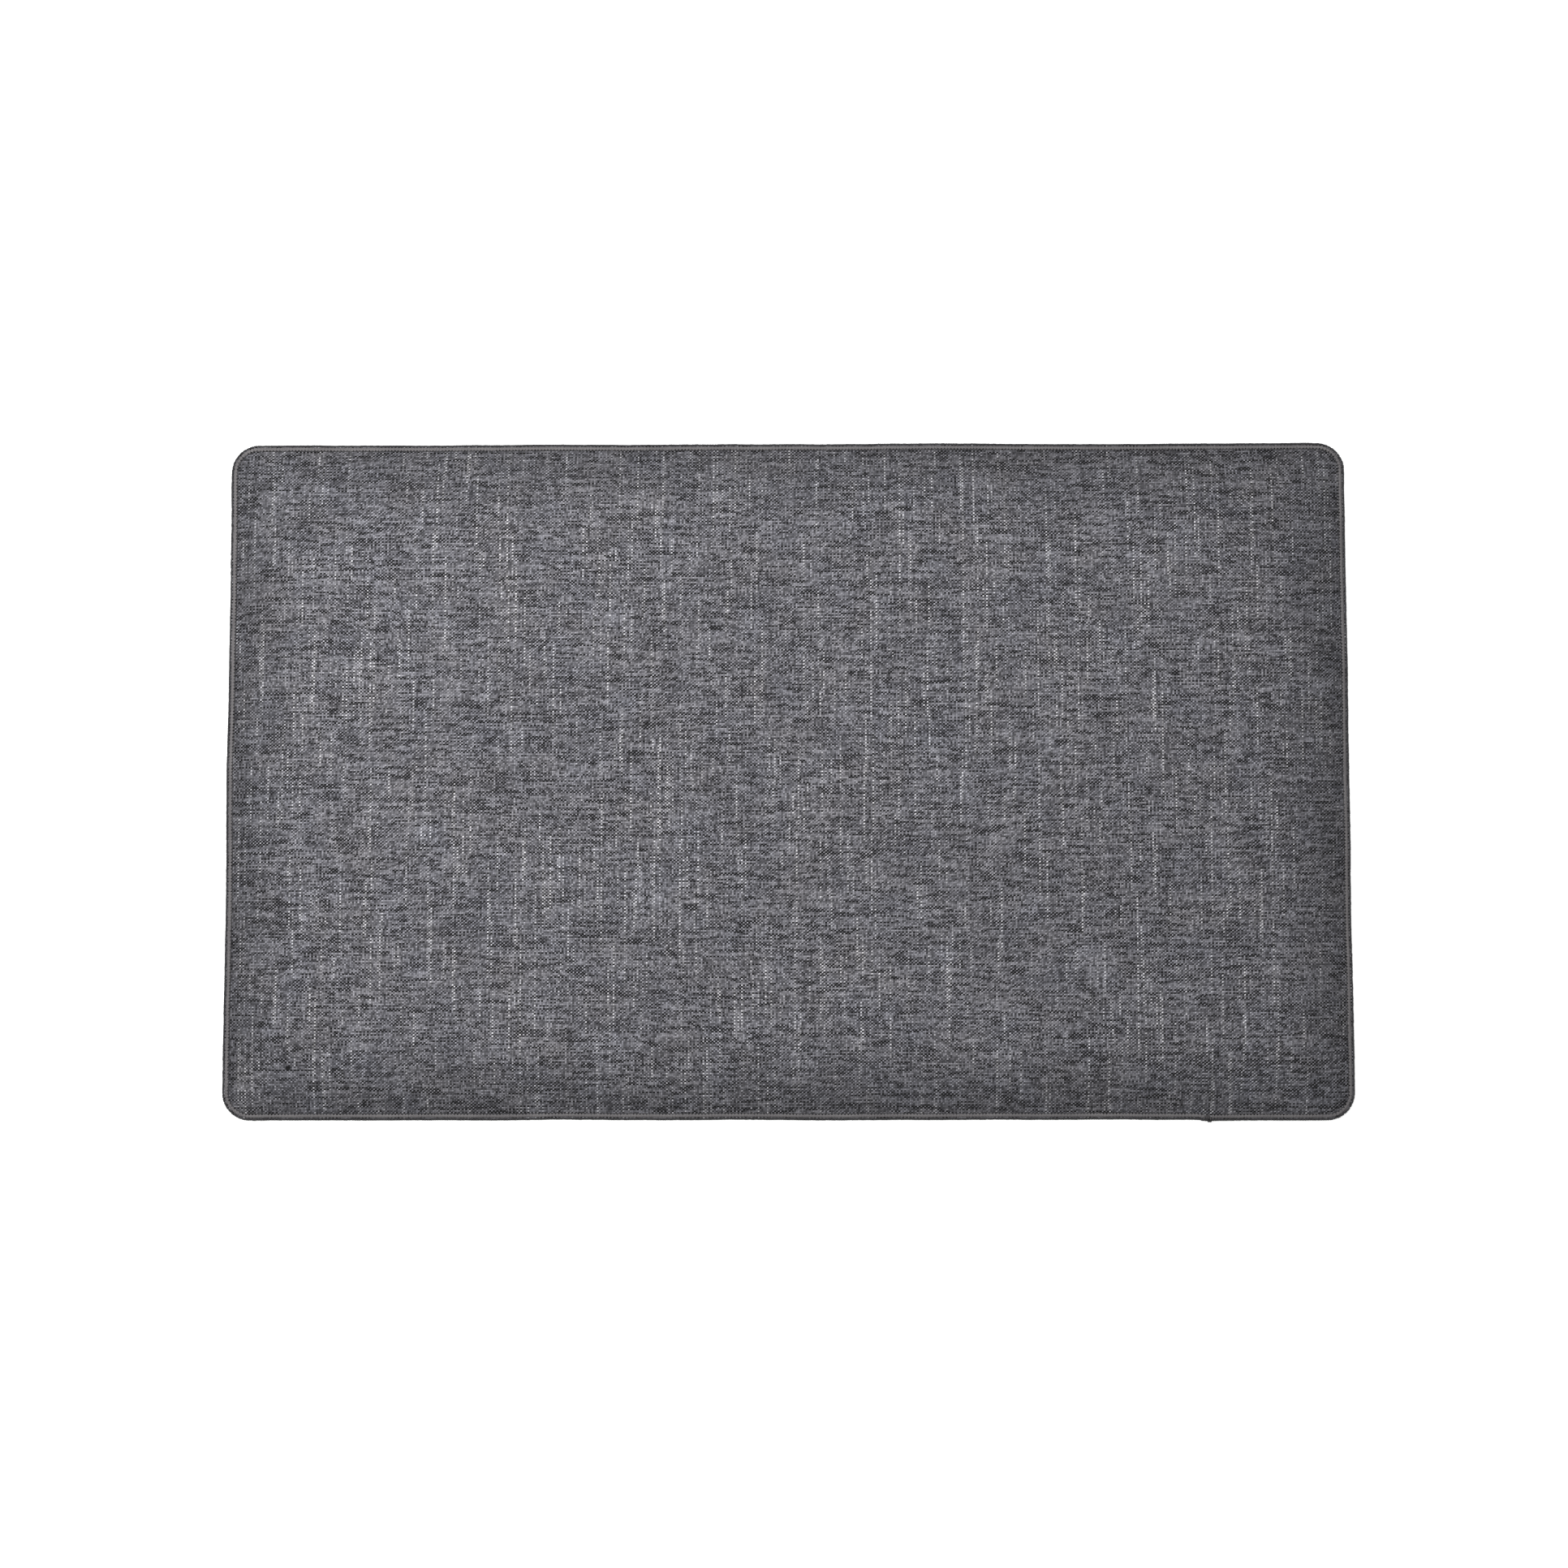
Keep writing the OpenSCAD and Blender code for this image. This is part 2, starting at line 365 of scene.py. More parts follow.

    # what darkens or lightens a float: painted shade between the yarns, filaments, dyeing, painted shade
    # on the shoulders towards the seam, the knot
    cell = addNode(tree, "ShaderNodeCombineXYZ", None, {0: numbers["warp"], 1: numbers["weft"]})
    grain = addNode(tree, "ShaderNodeTexWhiteNoise", {"noise_dimensions": "2D"},
                    {"Vector": cell.outputs[0]})
    dye = addNode(tree, "ShaderNodeTexNoise", {"Scale": 1 / weave["cloudStep"], "Detail": 2.0},
                  {"Vector": coords.outputs["Object"]})
    # the shoulder share sets painted shade, darkest at the seam
    shoulderShadeShare = addNode(tree, "ShaderNodeAttribute", {"attribute_name": "shoulder"})
    toNep = addNode(tree, "ShaderNodeVectorMath", {"operation": "DISTANCE", 1: weave["nep"]},
                    {0: coords.outputs["Object"]})
    level = None
    for source, span, low, high in (
            # painted shade between the yarns, darkest where a float sinks
            (height.outputs[0], (0, 1), weave["paintedGapShade"], 1.0),
            (grain.outputs["Value"], (0, 1), 1 - weave["salt"], 1 + weave["salt"]),
            (dye.outputs["Fac"], (0, 1), 1 - weave["cloud"], 1 + weave["cloud"]),
            # painted shade on the shoulders, darkest at the seam
            (shoulderShadeShare.outputs["Fac"], (0, 1), weave["paintedShoulderShade"], 1.0),
            (toNep.outputs["Value"], weave["nepRadius"], weave["nepShade"], 1.0)):
        share = addNode(tree, "ShaderNodeMapRange", {1: span[0], 2: span[1], 3: low, 4: high},
                        {0: source})
        if level:
            share = addNode(tree, "ShaderNodeMath", {"operation": "MULTIPLY"},
                            {0: level, 1: share.outputs[0]})
        level = share.outputs[0]

    tintNoise = addNode(tree, "ShaderNodeTexNoise", {"Scale": 1 / weave["tintStep"], "Detail": 1.0},
                        {"Vector": coords.outputs["Object"]})
    tint = addNode(tree, "ShaderNodeMix",
                   {"data_type": "RGBA", 6: linearColor(weave["cool"]), 7: linearColor(weave["warm"])},
                   {0: tintNoise.outputs["Fac"]})
    tinted = addNode(tree, "ShaderNodeVectorMath", {"operation": "MULTIPLY"},
                     {0: color.outputs[2], 1: tint.outputs[2]})
    shaded = addNode(tree, "ShaderNodeVectorMath", {"operation": "SCALE"},
                     {0: tinted.outputs[0], "Scale": level})
    bump = addNode(tree, "ShaderNodeBump", {"Strength": weave["bump"], "Distance": weave["ridge"]},
                   {"Height": height.outputs[0]})
    tree.links.new(shaded.outputs[0], shader.inputs["Base Color"])
    tree.links.new(bump.outputs[0], shader.inputs["Normal"])
    shader.inputs["Roughness"].default_value = weave["roughness"]
    shader.inputs["Specular IOR Level"].default_value = weave["specular"]
    return material


coverSizes = {
    "puckerStep": 13 * mm,          # small puckers beside the seam
    "puckerReach": 0.45 * mm,
    "puckerFade": 7 * mm,
    "puckerRise": 12,               # they come in over one part in this many of the shoulder
    "swellStep": 120 * mm,          # and wide, shallow swells over the whole mat
    "swellReach": 0.25 * mm,
    "swellApart": Vector((0, 0, 4)),
    "slack": 0.25 * mm,             # the cover starts this much low, and the foam's push lifts it
    "push": 12,                     # the foam's pressure
    "yarnMass": 0.02,               # kg at each point of the grid
    "frames": 20,
    "cap": 0.3 * mm,                # most that the run may move a point
}


def pushCover(cover):
    # a short cloth run: the foam pushes the cover up between its sewn edges, up to a cap
    sizes = coverSizes
    starts = [vert.co.copy() for vert in cover.data.vertices]
    sewn = cover.vertex_groups.new(name="sewn edge")
    shares = cover.data.attributes["shoulder"].data
    sewn.add([k for k, share in enumerate(shares) if share.value == 0], 1.0, "REPLACE")
    cloth = cover.modifiers.new("push", "CLOTH")
    cloth.settings.vertex_group_mass = sewn.name
    cloth.settings.mass = sizes["yarnMass"]
    cloth.settings.use_pressure = True
    cloth.settings.uniform_pressure_force = sizes["push"]
    cloth.settings.effector_weights.gravity = 0
    for number in range(1, sizes["frames"] + 1):
        bpy.context.scene.frame_set(number)
    applyModifiers(cover)
    bpy.context.scene.frame_set(1)
    cover.vertex_groups.clear()
    lifts = []
    for vert, start in zip(cover.data.vertices, starts):
        move = vert.co - start
        if move.length > sizes["cap"]:
            move = move.normalized() * sizes["cap"]
        vert.co = start + move
        lifts.append(move.z)
    print("cover pushed up by", round(sum(lifts) / len(lifts) / mm, 2), "mm on average")


def makeCover(material):
    sizes = coverSizes

    def heightAt(point, inset):
        free = shoulderShare(inset)
        fade = math.exp(-free * mat["shoulderWidth"] / sizes["puckerFade"])
        fade *= min(free * sizes["puckerRise"], 1)
        pucker = noise.noise(point / sizes["puckerStep"]) * sizes["puckerReach"] * fade
        place = point / sizes["swellStep"] + sizes["swellApart"]
        swell = noise.noise(place) * sizes["swellReach"] * free
        return coverHeight(inset) + pucker + swell - sizes["slack"] * free

    cover = makePiece("woven_cover", ringGrid(mat["rawInset"], heightAt), material,
                      "cover_fabric", "top_cover")
    pushCover(cover)
    smooth = cover.modifiers.new("smooth", "SUBSURF")
    smooth.levels = smooth.render_levels = 1
    cloth = cover.modifiers.new("cloth", "SOLIDIFY")
    cloth.thickness = mat["flangeZ"] - mat["seamZ"]
    cloth.offset = -1.0
    applyModifiers(cover)
    print("cover:", len(cover.data.polygons), "faces")


# Open-cell polyurethane foam: pale, quite matt, with a fine net of pores
foamSizes = {
    "film": 0.2 * mm,               # room for the film above the foam
    "cell": 1.2 * mm,
    "wall": "#dcd8cc",
    "pore": "#a9a495",
    "poreDepth": 0.3 * mm,
    "bump": 0.6,
    "roughness": 0.95,
}


def openCellFoam():
    material, tree, shader = newMaterial("Open-cell polyurethane foam")
    coords = addNode(tree, "ShaderNodeTexCoord")
    cells = addNode(tree, "ShaderNodeTexVoronoi", {"Scale": 1 / foamSizes["cell"]},
                    {"Vector": coords.outputs["Object"]})
    wall, pore = linearColor(foamSizes["wall"]), linearColor(foamSizes["pore"])
    color = addNode(tree, "ShaderNodeMix", {"data_type": "RGBA", 6: wall, 7: pore},
                    {0: cells.outputs["Distance"]})
    bump = addNode(tree, "ShaderNodeBump",
                   {"Strength": foamSizes["bump"], "Distance": foamSizes["poreDepth"]},
                   {"Height": cells.outputs["Distance"]})
    tree.links.new(color.outputs[2], shader.inputs["Base Color"])
    tree.links.new(bump.outputs[0], shader.inputs["Normal"])
    shader.inputs["Roughness"].default_value = foamSizes["roughness"]
    return material


def makeFoam(material):
    drop = mat["flangeZ"] - mat["seamZ"] + foamSizes["film"]
    bm = ringGrid(mat["foamInset"], lambda point, inset: coverHeight(inset) - drop)
    rim = [edge for edge in bm.edges if edge.is_boundary]
    walls = bmesh.ops.extrude_edge_only(bm, edges=rim)["geom"]
    for vert in [item for item in walls if isinstance(item, bmesh.types.BMVert)]:
        vert.co.z = foamBox[0].z
    bmesh.ops.holes_fill(bm, edges=[edge for edge in bm.edges if edge.is_boundary], sides=0)
    bmesh.ops.recalc_face_normals(bm, faces=bm.faces)
    foam = makePiece("foam_pad", bm, material, "foam", "foam_core")
    print("foam:", len(foam.data.polygons), "faces")


# Overlock: the stitch repeats along the needle line, and each thread's stitch is one flattened tube
stitch = {
    "pitch": 2.19 * mm,
    "looperWidth": 1.55 * mm,
    "looperThickness": 0.7 * mm,
    "needleThickness": 0.45 * mm,
    "sides": 6,
    "tick": 0.9 * mm,               # inner stretch, where the two arms of a stitch run together
    "darkLine": 1.65 * mm,          # the lower looper shows this far past the upper one
    "turnJitter": 1.5,              # degrees
    "reachJitter": 0.05 * mm,
    "needleDive": 0.3 * mm,         # the ends of a needle stitch go this far into the cover
    "holeRadius": 0.42 * mm,
    "holeDepth": 0.25 * mm,
    "holeSides": 8,
    "holeOut": 0.3,                 # share of the tick
    "holeLift": 0.06 * mm,          # rim just proud of the cover
}


def needleLineLength():
    radius = mat["cornerRadius"] - mat["stitchWidth"]
    return 4 * (mat["halfLength"] + mat["halfWidth"] - 2 * mat["cornerRadius"]) + 2 * math.pi * radius


def needleLine(run):
    # point at a distance along the needle line from the front left, and the direction out from there
    radius = mat["cornerRadius"] - mat["stitchWidth"]
    halfX = mat["halfLength"] - mat["cornerRadius"]
    halfY = mat["halfWidth"] - mat["cornerRadius"]
    arc = radius * math.pi / 2
    for side in range(4):
        half, reach = (halfX, halfY) if side % 2 == 0 else (halfY, halfX)
        turn = Matrix.Rotation(side * math.pi / 2, 3, "Z")
        if run <= 2 * half:
            return turn @ Vector((run - half, -reach - radius, 0)), turn @ Vector((0, -1, 0))
        run -= 2 * half
        if run <= arc:
            angle = run / radius - math.pi / 2
            out = Vector((math.cos(angle), math.sin(angle), 0))
            return turn @ (Vector((half, -reach, 0)) + out * radius), turn @ out
        run -= arc
    return needleLine(run)


def stitchPlaces():
    # place, direction along and direction out of each stitch, with the few inside the lap apart
    count = round(needleLineLength() / stitch["pitch"])
    band, inLap = [], []
    for k in range(count):
        point, out = needleLine(needleLineLength() * (k + 0.5) / count)
        past = point.x - lap["x"]
        places = band
        onFront = out.y < -0.99         # the straight front edge, clear of its corners
        if onFront and past < lap["half"]:
            curl = max(0.0, 1 + (past + lap["half"]) / lap["curlLength"])
            point = point + out * lap["curl"] * min(curl, 1) ** 2
            places = inLap if past > -lap["half"] else band
        places.append((point + wander(point), Vector((out.y, -out.x, 0)), out))
    return band, inLap


def placeMatrix(point, along, out):
    swing = Matrix.Rotation(math.radians(random.gauss(0, stitch["turnJitter"])), 3, "Z")
    along, out = swing @ along, swing @ out
    matrix = Matrix((along, out, (0, 0, 1))).transposed().to_4x4()
    matrix.translation = point + out * random.gauss(0, stitch["reachJitter"])
    return matrix


def sweepTube(path, ups, widths, thickness):
    # a closed tube along a path, flattened towards the given up directions
    bm = bmesh.new()
    frames = []
    for k, point in enumerate(path):
        ahead = (path[min(k + 1, len(path) - 1)] - path[max(k - 1, 0)]).normalized()
        side = ahead.cross(ups[k]).normalized()
        turned = Matrix((side, side.cross(ahead), ahead)).transposed().to_4x4()
        turned.translation = point
        frames.append(turned @ Matrix.Diagonal((widths[k], thickness, 1, 1)))
    ring = bmesh.ops.create_circle(bm, segments=stitch["sides"], radius=0.5)["verts"]
    bmesh.ops.transform(bm, matrix=frames[0], verts=ring)
    for before, after in zip(frames, frames[1:]):
        edges = [edge for edge in bm.edges if all(vert in ring for vert in edge.verts)]
        grown = bmesh.ops.extrude_edge_only(bm, edges=edges)["geom"]
        ring = [item for item in grown if isinstance(item, bmesh.types.BMVert)]
        bmesh.ops.transform(bm, matrix=after @ before.inverted(), verts=ring)
    bmesh.ops.holes_fill(bm, edges=[edge for edge in bm.edges if edge.is_boundary], sides=0)
    bmesh.ops.recalc_face_normals(bm, faces=bm.faces)
    return meshOf(bm, "thread shape")


def addRepeats(bm, shape, matrices):
    placed = Matrix()
    for matrix in matrices:
        shape.transform(matrix @ placed.inverted())     # from the last place to this one
        placed = matrix
        bm.from_mesh(shape)
    shape.transform(placed.inverted())


def looperMesh(steps, sign):
    # a path out to the edge and its mirror image back
    # a step is its share of the pitch, its way out, height and lean, and its share of the width
    steps = steps + [(-along, *rest) for along, *rest in reversed(steps)]
    path = [Vector((along * stitch["pitch"], out, z)) for along, out, z, lean, width in steps]
    ups = [Vector((0, lean, sign * (1 - lean))).normalized() for along, out, z, lean, width in steps]
    widths = [width * stitch["looperWidth"] for along, out, z, lean, width in steps]
    return sweepTube(path, ups, widths, stitch["looperThickness"])


def upperLooperMesh():
    # from the needle line over the cover to the edge; the arms lie side by side past the tick
    face = mat["flangeZ"] + stitch["looperThickness"] / 2
    tick = stitch["tick"]
    reach = mat["stitchWidth"] - stitch["darkLine"] - stitch["looperThickness"] / 2
    return looperMesh([
        (-0.05, -0.3 * mm, face - 0.3 * mm, 0.0, 0.35),
        (-0.12, 0.5 * tick, face - 0.05 * mm, 0.0, 0.45),
        (-0.25, tick, face + 0.2 * mm, 0.05, 0.9),
        (-0.25, (tick + reach) / 2, face, 0.35, 1.0),
        (-0.25, reach, face - 0.7 * mm, 0.75, 1.0),
    ], 1)


def lowerLooperMesh():
    # from the needle line under the base, round the raw edge, then along its top to the next stitch
    width, half = mat["stitchWidth"], stitch["looperThickness"] / 2
    face = baseSheetZ - half
    return looperMesh([
        (-0.05, -0.3 * mm, face + 0.2 * mm, 0.0, 0.35),
        (-0.24, stitch["tick"], face, 0.1, 1.0),
        (-0.25, width - 3 * half, face + 0.15 * mm, 0.5, 1.0),
        (-0.28, width - half, mat["seamZ"] + 0.1 * mm, 1.0, 1.0),
        (-0.50, width - 0.7 * stitch["darkLine"], mat["flangeZ"] + 0.25 * mm, 1.8, 0.85),
    ], -1)


def needleMesh():
    # one straight stitch of the needle thread, which dives into a hole at each end
    half, dive = stitch["needleThickness"] / 2, stitch["needleDive"]
    heights = [(-0.5, -dive), (-0.28, 0.6 * half), (0.0, 1.6 * half), (0.28, 0.6 * half), (0.5, -dive)]
    path = [Vector((along * stitch["pitch"], -half, mat["flangeZ"] + z)) for along, z in heights]
    return sweepTube(path, [Vector((0, 0, 1))] * len(path), [2 * half] * len(path), 2 * half)


def holeMesh():
    # a needle hole: a shallow cup between the ticks of two stitches, coloured near black as painted shade
    bm = bmesh.new()
    bmesh.ops.create_circle(bm, cap_ends=True, segments=stitch["holeSides"], radius=stitch["holeRadius"])
    floor = bmesh.ops.extrude_face_region(bm, geom=bm.faces[:])["geom"]
    bmesh.ops.translate(bm, vec=(0, 0, -2 * stitch["holeDepth"]),
                        verts=[item for item in floor if isinstance(item, bmesh.types.BMVert)])
    top = max(bm.faces, key=lambda face: face.calc_center_median().z)
    centre = bmesh.ops.poke(bm, faces=[top])["verts"]
    bmesh.ops.translate(bm, vec=(0, 0, -stitch["holeDepth"]), verts=centre)
    bmesh.ops.recalc_face_normals(bm, faces=bm.faces)
    place = (stitch["pitch"] / 2, stitch["holeOut"] * stitch["tick"], mat["flangeZ"] + stitch["holeLift"])
    bmesh.ops.translate(bm, vec=place, verts=bm.verts)
    return meshOf(bm, "needle hole")


def strandMesh(start, end):
    # a loose strand of the upper looper across the lap, from the needle line to the edge
    edge = Vector((lap["x"], -mat["halfWidth"], 0))
    place = edge + Vector((0, 0, mat["flangeZ"])) + wander(edge)
    width = stitch["needleThickness"]
    path = []
    for share, height in lap["strandRise"]:
        x, y = (low + (high - low) * share for low, high in zip(start, end))
        path.append(place + Vector((x * mm, y * mm, height * mm)))
    return sweepTube(path, [Vector((0, 0, 1))] * len(path), [width] * len(path), width)


# Textured polyester thread: bulky and matt, its filaments blurred into a soft streak
threadSizes = {
    "grey": ("#868384", "#6a6769"),     # light and dark of each thread
    "charcoal": ("#3a393b", "#1c1b1d"),
    "fuzz": 0.35 * mm,
    "patch": 25 * mm,
    "fuzzShare": 0.5,                   # of the fuzz in the tone, beside the patches
    "tone": (0.45, 1.05),               # range of the noise that goes from dark to light
    "bump": 0.4,
    "fuzzHeight": 0.1 * mm,
    "roughness": 0.7,
}


def spunThread(name, light, dark):
    material, tree, shader = newMaterial(name)
    coords = addNode(tree, "ShaderNodeTexCoord")
    fuzz, patch = [addNode(tree, "ShaderNodeTexNoise", {"Scale": 1 / threadSizes[size], "Detail": 2.0},
                           {"Vector": coords.outputs["Object"]}) for size in ("fuzz", "patch")]
    both = addNode(tree, "ShaderNodeMath", {"operation": "MULTIPLY_ADD", 1: threadSizes["fuzzShare"]},
                   {0: fuzz.outputs["Fac"], 2: patch.outputs["Fac"]})
    tone = addNode(tree, "ShaderNodeMapRange", {1: threadSizes["tone"][0], 2: threadSizes["tone"][1]},
                   {0: both.outputs[0]})
    mix = addNode(tree, "ShaderNodeMix",
                  {"data_type": "RGBA", 6: linearColor(dark), 7: linearColor(light)},
                  {0: tone.outputs[0]})
    bump = addNode(tree, "ShaderNodeBump",
                   {"Strength": threadSizes["bump"], "Distance": threadSizes["fuzzHeight"]},
                   {"Height": fuzz.outputs["Fac"]})
    tree.links.new(mix.outputs[2], shader.inputs["Base Color"])
    tree.links.new(bump.outputs[0], shader.inputs["Normal"])
    shader.inputs["Roughness"].default_value = threadSizes["roughness"]
    return material


# Needle hole: near-black painted shade inside the cup, with a faint fuzz
holeShadeLook = {"dark": "#101012", "light": "#262628", "roughness": 0.95, "specular": 0.1}


def paintedHoleShade():
    material, tree, shader = newMaterial("Painted shade inside a needle hole")
    coords = addNode(tree, "ShaderNodeTexCoord")
    fuzz = addNode(tree, "ShaderNodeTexNoise", {"Scale": 1 / threadSizes["fuzz"]},
                   {"Vector": coords.outputs["Object"]})
    dark, light = linearColor(holeShadeLook["dark"]), linearColor(holeShadeLook["light"])
    mix = addNode(tree, "ShaderNodeMix", {"data_type": "RGBA", 6: dark, 7: light},
                  {0: fuzz.outputs["Fac"]})
    tree.links.new(mix.outputs[2], shader.inputs["Base Color"])
    shader.inputs["Roughness"].default_value = holeShadeLook["roughness"]
    shader.inputs["Specular IOR Level"].default_value = holeShadeLook["specular"]
    return material


def makeOverlock():
    grey = spunThread("Textured polyester thread, grey", *threadSizes["grey"])
    charcoal = spunThread("Textured polyester thread, charcoal", *threadSizes["charcoal"])
    band, inLap = stitchPlaces()
    upper, lower = upperLooperMesh(), lowerLooperMesh()
    for name, node, slot, material, runs in (
            ("upper_looper", "upper_looper_thread", "overlock_thread", grey, [(upper, band)]),
            ("lower_looper", "lower_looper_thread", "overlock_thread", charcoal,
             [(lower, band + inLap), (upper, inLap)]),
            ("needle_line", "needle_thread", "overlock_thread", charcoal, [(needleMesh(), band)]),
            # the needle holes carry painted shade
            ("needle_holes", None, "cover_fabric", paintedHoleShade(), [(holeMesh(), band)])):
        bm = bmesh.new()
        for shape, places in runs:
            addRepeats(bm, shape, [placeMatrix(*place) for place in places])
        for strand in lap["strands"] if name == "upper_looper" else ():
            bm.from_mesh(strandMesh(*strand))
        piece = makePiece(name, bm, material, slot, node)
        print(name + ":", len(band), "stitches,", len(piece.data.polygons), "faces")


# Grip base: backing sheet with moulded dots
baseSizes = {
    "dotDiameter": 5 * mm,
    "dotFlat": 2.4 * mm,
    "dotHeight": 0.8 * mm,
    "dotRoot": 0.3 * mm,            # a dot reaches this far into the sheet
    "dotProfile": ((1.0, 1.0), (0.86, 0.5), (0.7, 0.2)),    # shares of the radius and of the height
    "dotPitch": 20 * mm,
    "dotGap": 10.9 * mm,            # least distance of a dot's centre from the mat's edge
    "dotSides": 12,
    "color": "#232325",
    "bloom": "#313137",
    "worn": "#5a5a60",              # flats of the dots, rubbed by the floor
    "wear": 0.8,                    # share of that colour on a flat
    "grain": 0.8 * mm,
    "grainDepth": 0.1 * mm,
    "cloud": 40 * mm,
    "bump": 0.3,
    "roughness": (0.6, 0.85),
}
baseSheetZ = baseBox[0].z + baseSizes["dotHeight"]


# Moulded rubber: near black, dull, with a fine moulded grain
def mouldedRubber():
    material, tree, shader = newMaterial("Moulded nitrile rubber")
    coords = addNode(tree, "ShaderNodeTexCoord")
    grain, cloud = [addNode(tree, "ShaderNodeTexNoise", {"Scale": 1 / baseSizes[size], "Detail": 3.0},
                            {"Vector": coords.outputs["Object"]}) for size in ("grain", "cloud")]
    color, bloom = linearColor(baseSizes["color"]), linearColor(baseSizes["bloom"])
    plain = addNode(tree, "ShaderNodeMix", {"data_type": "RGBA", 6: color, 7: bloom},
                    {0: cloud.outputs["Fac"]})
    split = addNode(tree, "ShaderNodeSeparateXYZ", None, {0: coords.outputs["Object"]})
    wear = addNode(tree, "ShaderNodeMapRange", {1: baseSheetZ / 2, 2: 0.0, 4: baseSizes["wear"]},
                   {0: split.outputs[2]})
    mix = addNode(tree, "ShaderNodeMix", {"data_type": "RGBA", 7: linearColor(baseSizes["worn"])},
                  {0: wear.outputs[0], 6: plain.outputs[2]})
    low, high = baseSizes["roughness"]
    rough = addNode(tree, "ShaderNodeMapRange", {3: low, 4: high}, {0: grain.outputs["Fac"]})
    bump = addNode(tree, "ShaderNodeBump",
                   {"Strength": baseSizes["bump"], "Distance": baseSizes["grainDepth"]},
                   {"Height": grain.outputs["Fac"]})
    tree.links.new(mix.outputs[2], shader.inputs["Base Color"])
    tree.links.new(rough.outputs[0], shader.inputs["Roughness"])
    tree.links.new(bump.outputs[0], shader.inputs["Normal"])
    return material


def dotMesh():
    # a low round pip with a flat end, closed inside the sheet
    bm = bmesh.new()
    radius = baseSizes["dotDiameter"] / 2
    flat = baseSizes["dotFlat"] / baseSizes["dotDiameter"]
    bmesh.ops.create_circle(bm, cap_ends=True, segments=baseSizes["dotSides"], radius=radius)
    bmesh.ops.translate(bm, vec=(0, 0, baseSheetZ + baseSizes["dotRoot"]), verts=bm.verts)
    ring = bm.edges[:]
    for share, height in (*baseSizes["dotProfile"], (flat, 0.0)):
        grown = bmesh.ops.extrude_edge_only(bm, edges=ring)["geom"]
        for vert in [item for item in grown if isinstance(item, bmesh.types.BMVert)]:
            side = Vector((vert.co.x, vert.co.y, 0)).normalized() * radius * share
            vert.co = side + Vector((0, 0, baseSheetZ * height))
        ring = [item for item in grown if isinstance(item, bmesh.types.BMEdge)]
    bmesh.ops.contextual_create(bm, geom=ring)
    bmesh.ops.recalc_face_normals(bm, faces=bm.faces)
    return meshOf(bm, "grip dot")


def dotPlaces():
    # staggered rows, one dot at the mat's centre, none too near the edge
    rowPitch = baseSizes["dotPitch"] * math.sin(math.radians(60))
    rows = math.floor(mat["halfWidth"] / rowPitch)
    columns = math.ceil(mat["halfLength"] / baseSizes["dotPitch"])
    places = []
    for row in range(-rows, rows + 1):
        for column in range(-columns, columns + 1):
            x = (column + abs(row % 2) / 2) * baseSizes["dotPitch"]
            y = row * rowPitch
            overX = max(abs(x) - mat["halfLength"] + mat["cornerRadius"], 0)
            overY = max(abs(y) - mat["halfWidth"] + mat["cornerRadius"], 0)
            if mat["cornerRadius"] - math.hypot(overX, overY) >= baseSizes["dotGap"]:
                places.append(Matrix.Translation((x, y, 0)))
    return places


def makeBase(material):
    bm = ringGrid(mat["rawInset"], lambda point, inset: mat["seamZ"])
    bmesh.ops.solidify(bm, geom=bm.faces[:], thickness=mat["seamZ"] - baseSheetZ)
    bmesh.ops.recalc_face_normals(bm, faces=bm.faces)
    places = dotPlaces()
    addRepeats(bm, dotMesh(), places)
    base = makePiece("grip_backing", bm, material, "grip_base", "grip_base")
    print("base:", len(places), "dots,", len(base.data.polygons), "faces")


# Hot-melt film: a thin cloudy web of adhesive, a little glossy
filmLook = {"web": 3 * mm, "thin": "#d9d2bf", "thick": "#efebdf", "roughness": 0.35}


def hotMeltFilm():
    material, tree, shader = newMaterial("Hot-melt adhesive film")
    coords = addNode(tree, "ShaderNodeTexCoord")
    web = addNode(tree, "ShaderNodeTexNoise", {"Scale": 1 / filmLook["web"], "Detail": 3.0},
                  {"Vector": coords.outputs["Object"]})
    thin, thick = linearColor(filmLook["thin"]), linearColor(filmLook["thick"])
    mix = addNode(tree, "ShaderNodeMix", {"data_type": "RGBA", 6: thin, 7: thick},
                  {0: web.outputs["Fac"]})
    tree.links.new(mix.outputs[2], shader.inputs["Base Color"])
    shader.inputs["Roughness"].default_value = filmLook["roughness"]
    return material


def dressFilms(material):
    for name in ("top_bond_film", "base_bond_film"):
        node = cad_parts[name]
        node.data.materials.clear()
        node.data.materials.append(material)


# Camera, floor and light
studio = {
    "lens": 50,
    "cameraPlace": (0.00748, -0.10102, 1.47693),
    "cameraTurn": (3.7824, 0.3806, -0.0281),    # degrees
    "white": "#ffffff",
    "floorSize": 24.0,
    "floorColor": "#f0f0f0",
    "floorRoughness": 0.9,
    "floorLift": 0.68,                          # glow of the floor where it is looked at
    "floorZ": -0.05 * mm,                       # just clear of the flats that the mat stands on
    "softBoxPlace": (-0.48, 0.40, 1.2),
    "softBoxSize": (1.2, 1.0),
    "softBoxPower": 15.4,
    "worldStrength": 0.3,
}


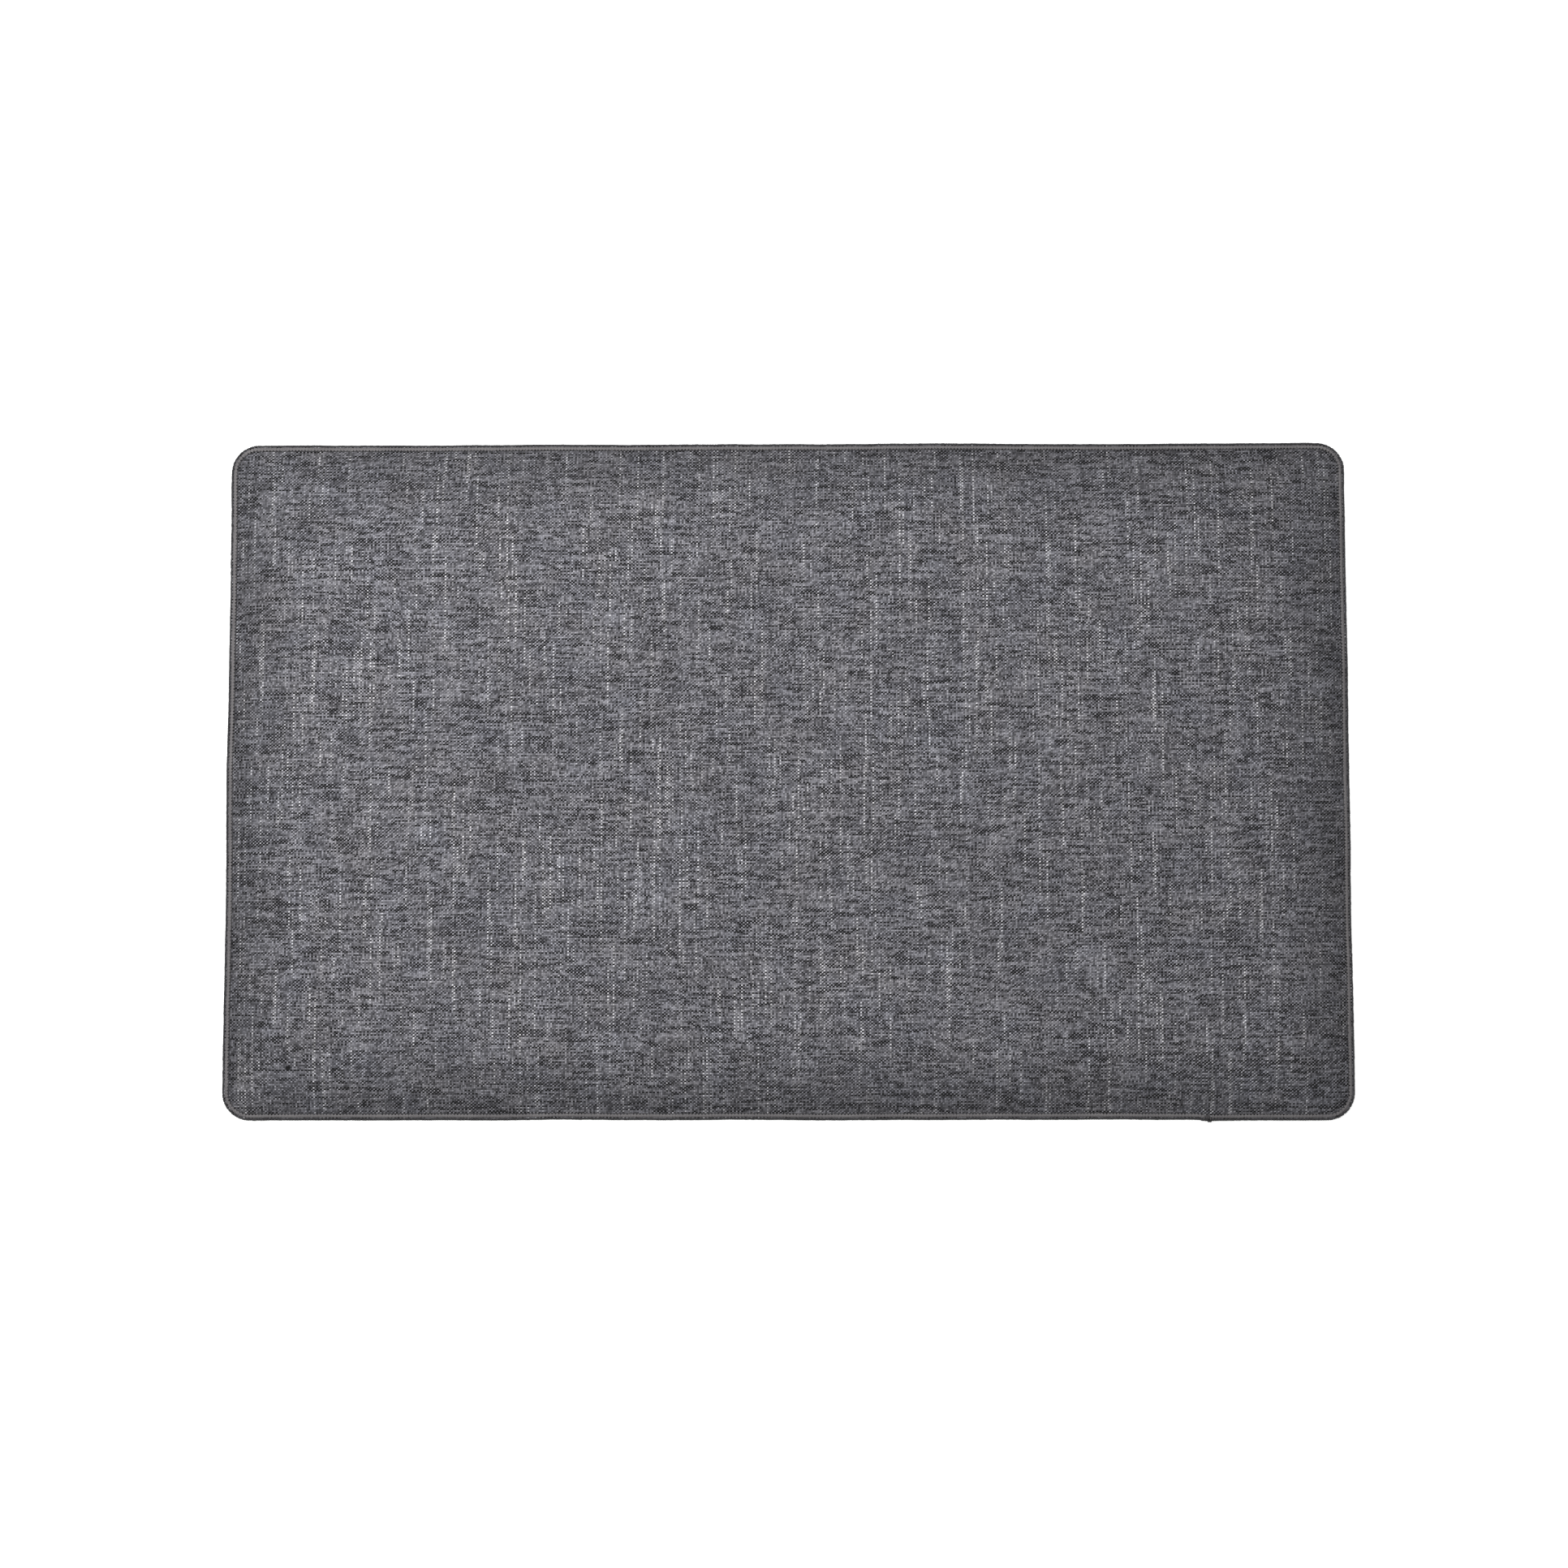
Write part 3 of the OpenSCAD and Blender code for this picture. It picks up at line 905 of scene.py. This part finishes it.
def makeStudio():
    scene = bpy.context.scene
    scene.view_settings.view_transform = "Standard"
    # a yarn is about a pixel wide, and the prefilter smears it
    scene.cycles.denoising_prefilter = "NONE"
    camera = bpy.data.objects.new("camera", bpy.data.cameras.new("camera"))
    camera.data.lens = studio["lens"]
    camera.location = studio["cameraPlace"]
    camera.rotation_euler = [math.radians(angle) for angle in studio["cameraTurn"]]
    scene.collection.objects.link(camera)
    scene.camera = camera

    box = bpy.data.objects.new("soft box", bpy.data.lights.new("soft box", "AREA"))
    box.data.shape = "RECTANGLE"
    box.data.size, box.data.size_y = studio["softBoxSize"]
    box.data.energy = studio["softBoxPower"]
    box.location = studio["softBoxPlace"]
    box.visible_camera = False
    scene.collection.objects.link(box)

    world = bpy.data.worlds.new("studio")
    scene.world = world
    world.use_nodes = True
    floorMaterial, floorTree, shader = newMaterial("Matt white floor")
    # the background is white where it is looked at, and keeps a plain level as light
    lifts = []
    for tree, low, high in ((world.node_tree, studio["worldStrength"], 1.0),
                            (floorTree, 0.0, studio["floorLift"])):
        ray = addNode(tree, "ShaderNodeLightPath")
        seen = ray.outputs["Is Camera Ray"]
        for kind in ("Is Glossy Ray", "Is Transmission Ray"):
            seen = addNode(tree, "ShaderNodeMath", {"operation": "MAXIMUM"},
                           {0: seen, 1: ray.outputs[kind]}).outputs[0]
        lifts.append(addNode(tree, "ShaderNodeMapRange", {3: low, 4: high}, {0: seen}).outputs[0])
    sky = world.node_tree.nodes["Background"]
    sky.inputs["Color"].default_value = linearColor(studio["white"])
    world.node_tree.links.new(lifts[0], sky.inputs["Strength"])
    shader.inputs["Base Color"].default_value = linearColor(studio["floorColor"])
    shader.inputs["Roughness"].default_value = studio["floorRoughness"]
    shader.inputs["Emission Color"].default_value = linearColor(studio["white"])
    floorTree.links.new(lifts[1], shader.inputs["Emission Strength"])

    bm = bmesh.new()
    bmesh.ops.create_grid(bm, x_segments=1, y_segments=1, size=studio["floorSize"] / 2)
    floor = bpy.data.objects.new("floor", meshOf(bm, "floor"))
    floor.data.materials.append(floorMaterial)
    floor.location.z = studio["floorZ"]
    scene.collection.objects.link(floor)
    print("studio ready")


makeStudio()
makeFoam(openCellFoam())
makeCover(wovenPolyester())
makeOverlock()
makeBase(mouldedRubber())
dressFilms(hotMeltFilm())
